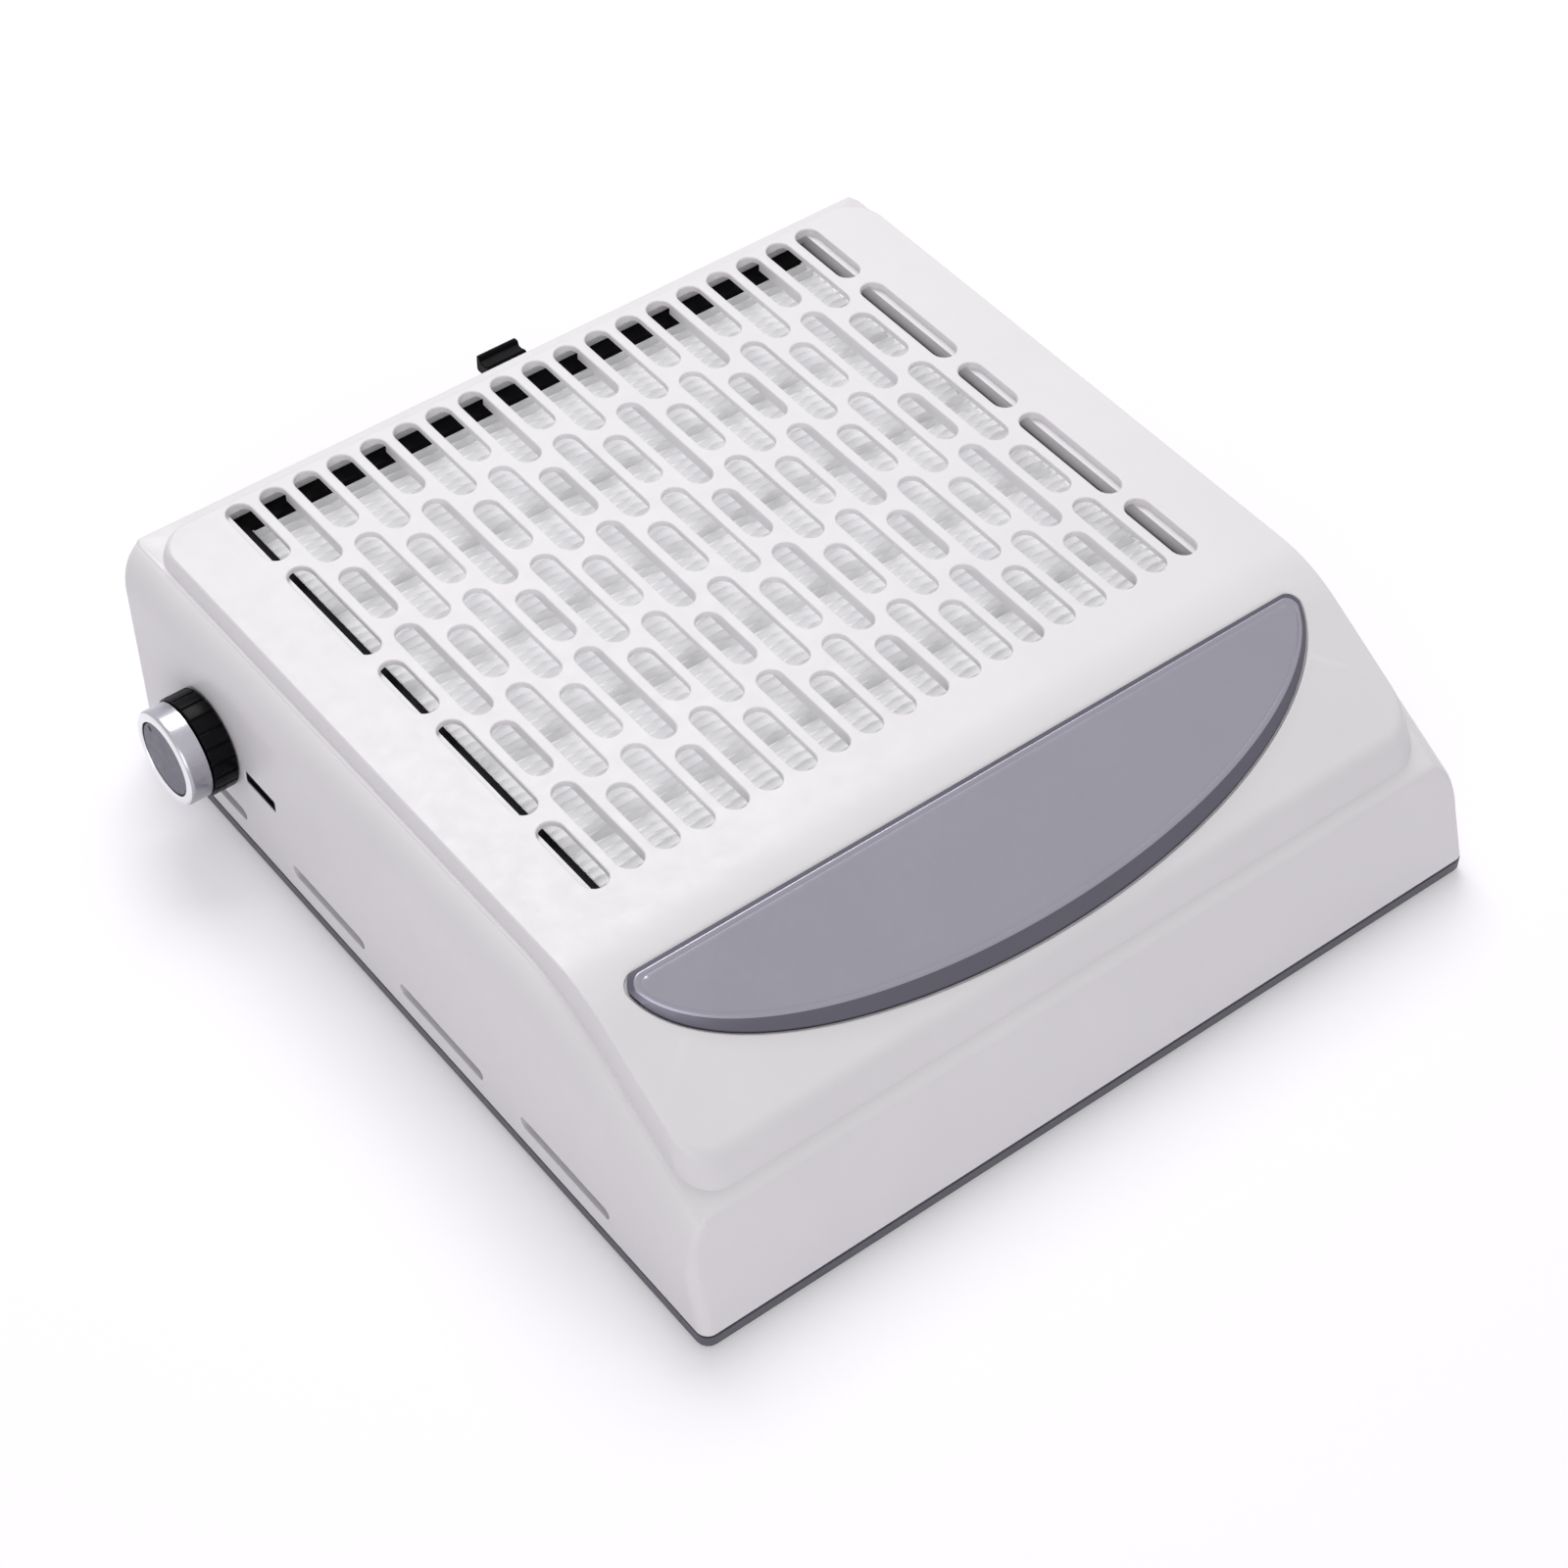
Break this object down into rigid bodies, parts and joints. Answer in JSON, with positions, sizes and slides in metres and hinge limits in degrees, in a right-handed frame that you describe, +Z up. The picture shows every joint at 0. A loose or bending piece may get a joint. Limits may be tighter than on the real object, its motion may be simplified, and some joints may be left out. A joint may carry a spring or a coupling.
{
  "type": "nail dust collector",
  "caption": "Desk-top nail dust collector with a slotted grille, a sloped metallic hand rest, a side speed knob and a pull-out pleated filter.",
  "frame": {"origin": "bottom centre of the bounding box, on the desk under the middle of the body, knob and pull tab included", "axes": "+X to the user's right, +Y to the rear where the filter pulls out, +Z up; the hand rest faces -Y"},
  "size_m": [0.254, 0.2506, 0.0686],
  "materials": {
    "shell_white": "satin",
    "base_grey": "satin",
    "pad_metallic": "metallic satin",
    "filter_black": "satin",
    "media_white": "matte",
    "deck_white": "matte",
    "impeller_grey": "matte",
    "rubber_black": "matte",
    "screw_steel": "zinc plated",
    "steel": "drawn",
    "plastic_black": "matte",
    "brass": "turned",
    "board_green": "solder mask",
    "potentiometer_blue": "moulded",
    "capacitor_sleeve": "shrink sleeve",
    "connector_cream": "moulded",
    "knob_black": "satin",
    "knob_face_grey": "metallic satin",
    "aluminium": "turned and anodised",
    "lead_red": "insulation",
    "lead_black": "insulation"
  },
  "bodies": {
    "housing": {"upper_housing": "shell_white", "base_plate": "base_grey", "rubber_foot_1": "rubber_black", "rubber_foot_2": "rubber_black", "rubber_foot_3": "rubber_black", "rubber_foot_4": "rubber_black", "base_screw_1": "screw_steel", "base_screw_2": "screw_steel", "base_screw_3": "screw_steel", "base_screw_4": "screw_steel", "hand_rest_pad": "pad_metallic", "filter_deck": "deck_white", "deck_screw_1": "screw_steel", "deck_screw_2": "screw_steel", "deck_screw_3": "screw_steel", "deck_screw_4": "screw_steel", "motor_can": "steel", "motor_end_cap": "plastic_black", "motor_damper": "rubber_black", "motor_bearing": "brass", "motor_screw_1": "screw_steel", "motor_screw_2": "screw_steel", "control_board": "board_green", "potentiometer_body": "potentiometer_blue", "potentiometer_bush": "brass", "potentiometer_nut": "steel", "power_inlet": "plastic_black", "capacitor_1": "capacitor_sleeve", "capacitor_2": "capacitor_sleeve", "heat_sink": "aluminium", "transistor": "plastic_black", "lead_connector": "connector_cream", "motor_lead_1": "lead_red", "motor_lead_2": "lead_black"},
    "knob": {"knob_grip": "knob_black", "knob_cap": "aluminium", "knob_face": "knob_face_grey", "knob_shaft": "aluminium"},
    "filter": {"filter_frame": "filter_black", "filter_media": "media_white"},
    "rotor": {"impeller": "impeller_grey", "motor_shaft": "steel", "impeller_nut": "brass"}
  },
  "joints": [
    {"name": "knob_turn", "type": "hinge", "parent": "housing", "child": "knob", "pos_m": [-0.11314, 0.07867, 0.031], "axis": [1, 0, 0], "range_deg": [-99, 201]},
    {"name": "filter_slide", "type": "slide", "parent": "housing", "child": "filter", "axis": [0, 1, 0], "range_m": [0, 0.165]},
    {"name": "fan_spin", "type": "hinge", "parent": "housing", "child": "rotor", "pos_m": [0.00684, 0.03148, 0.0254], "axis": [0, 0, 1], "continuous": true}
  ]
}
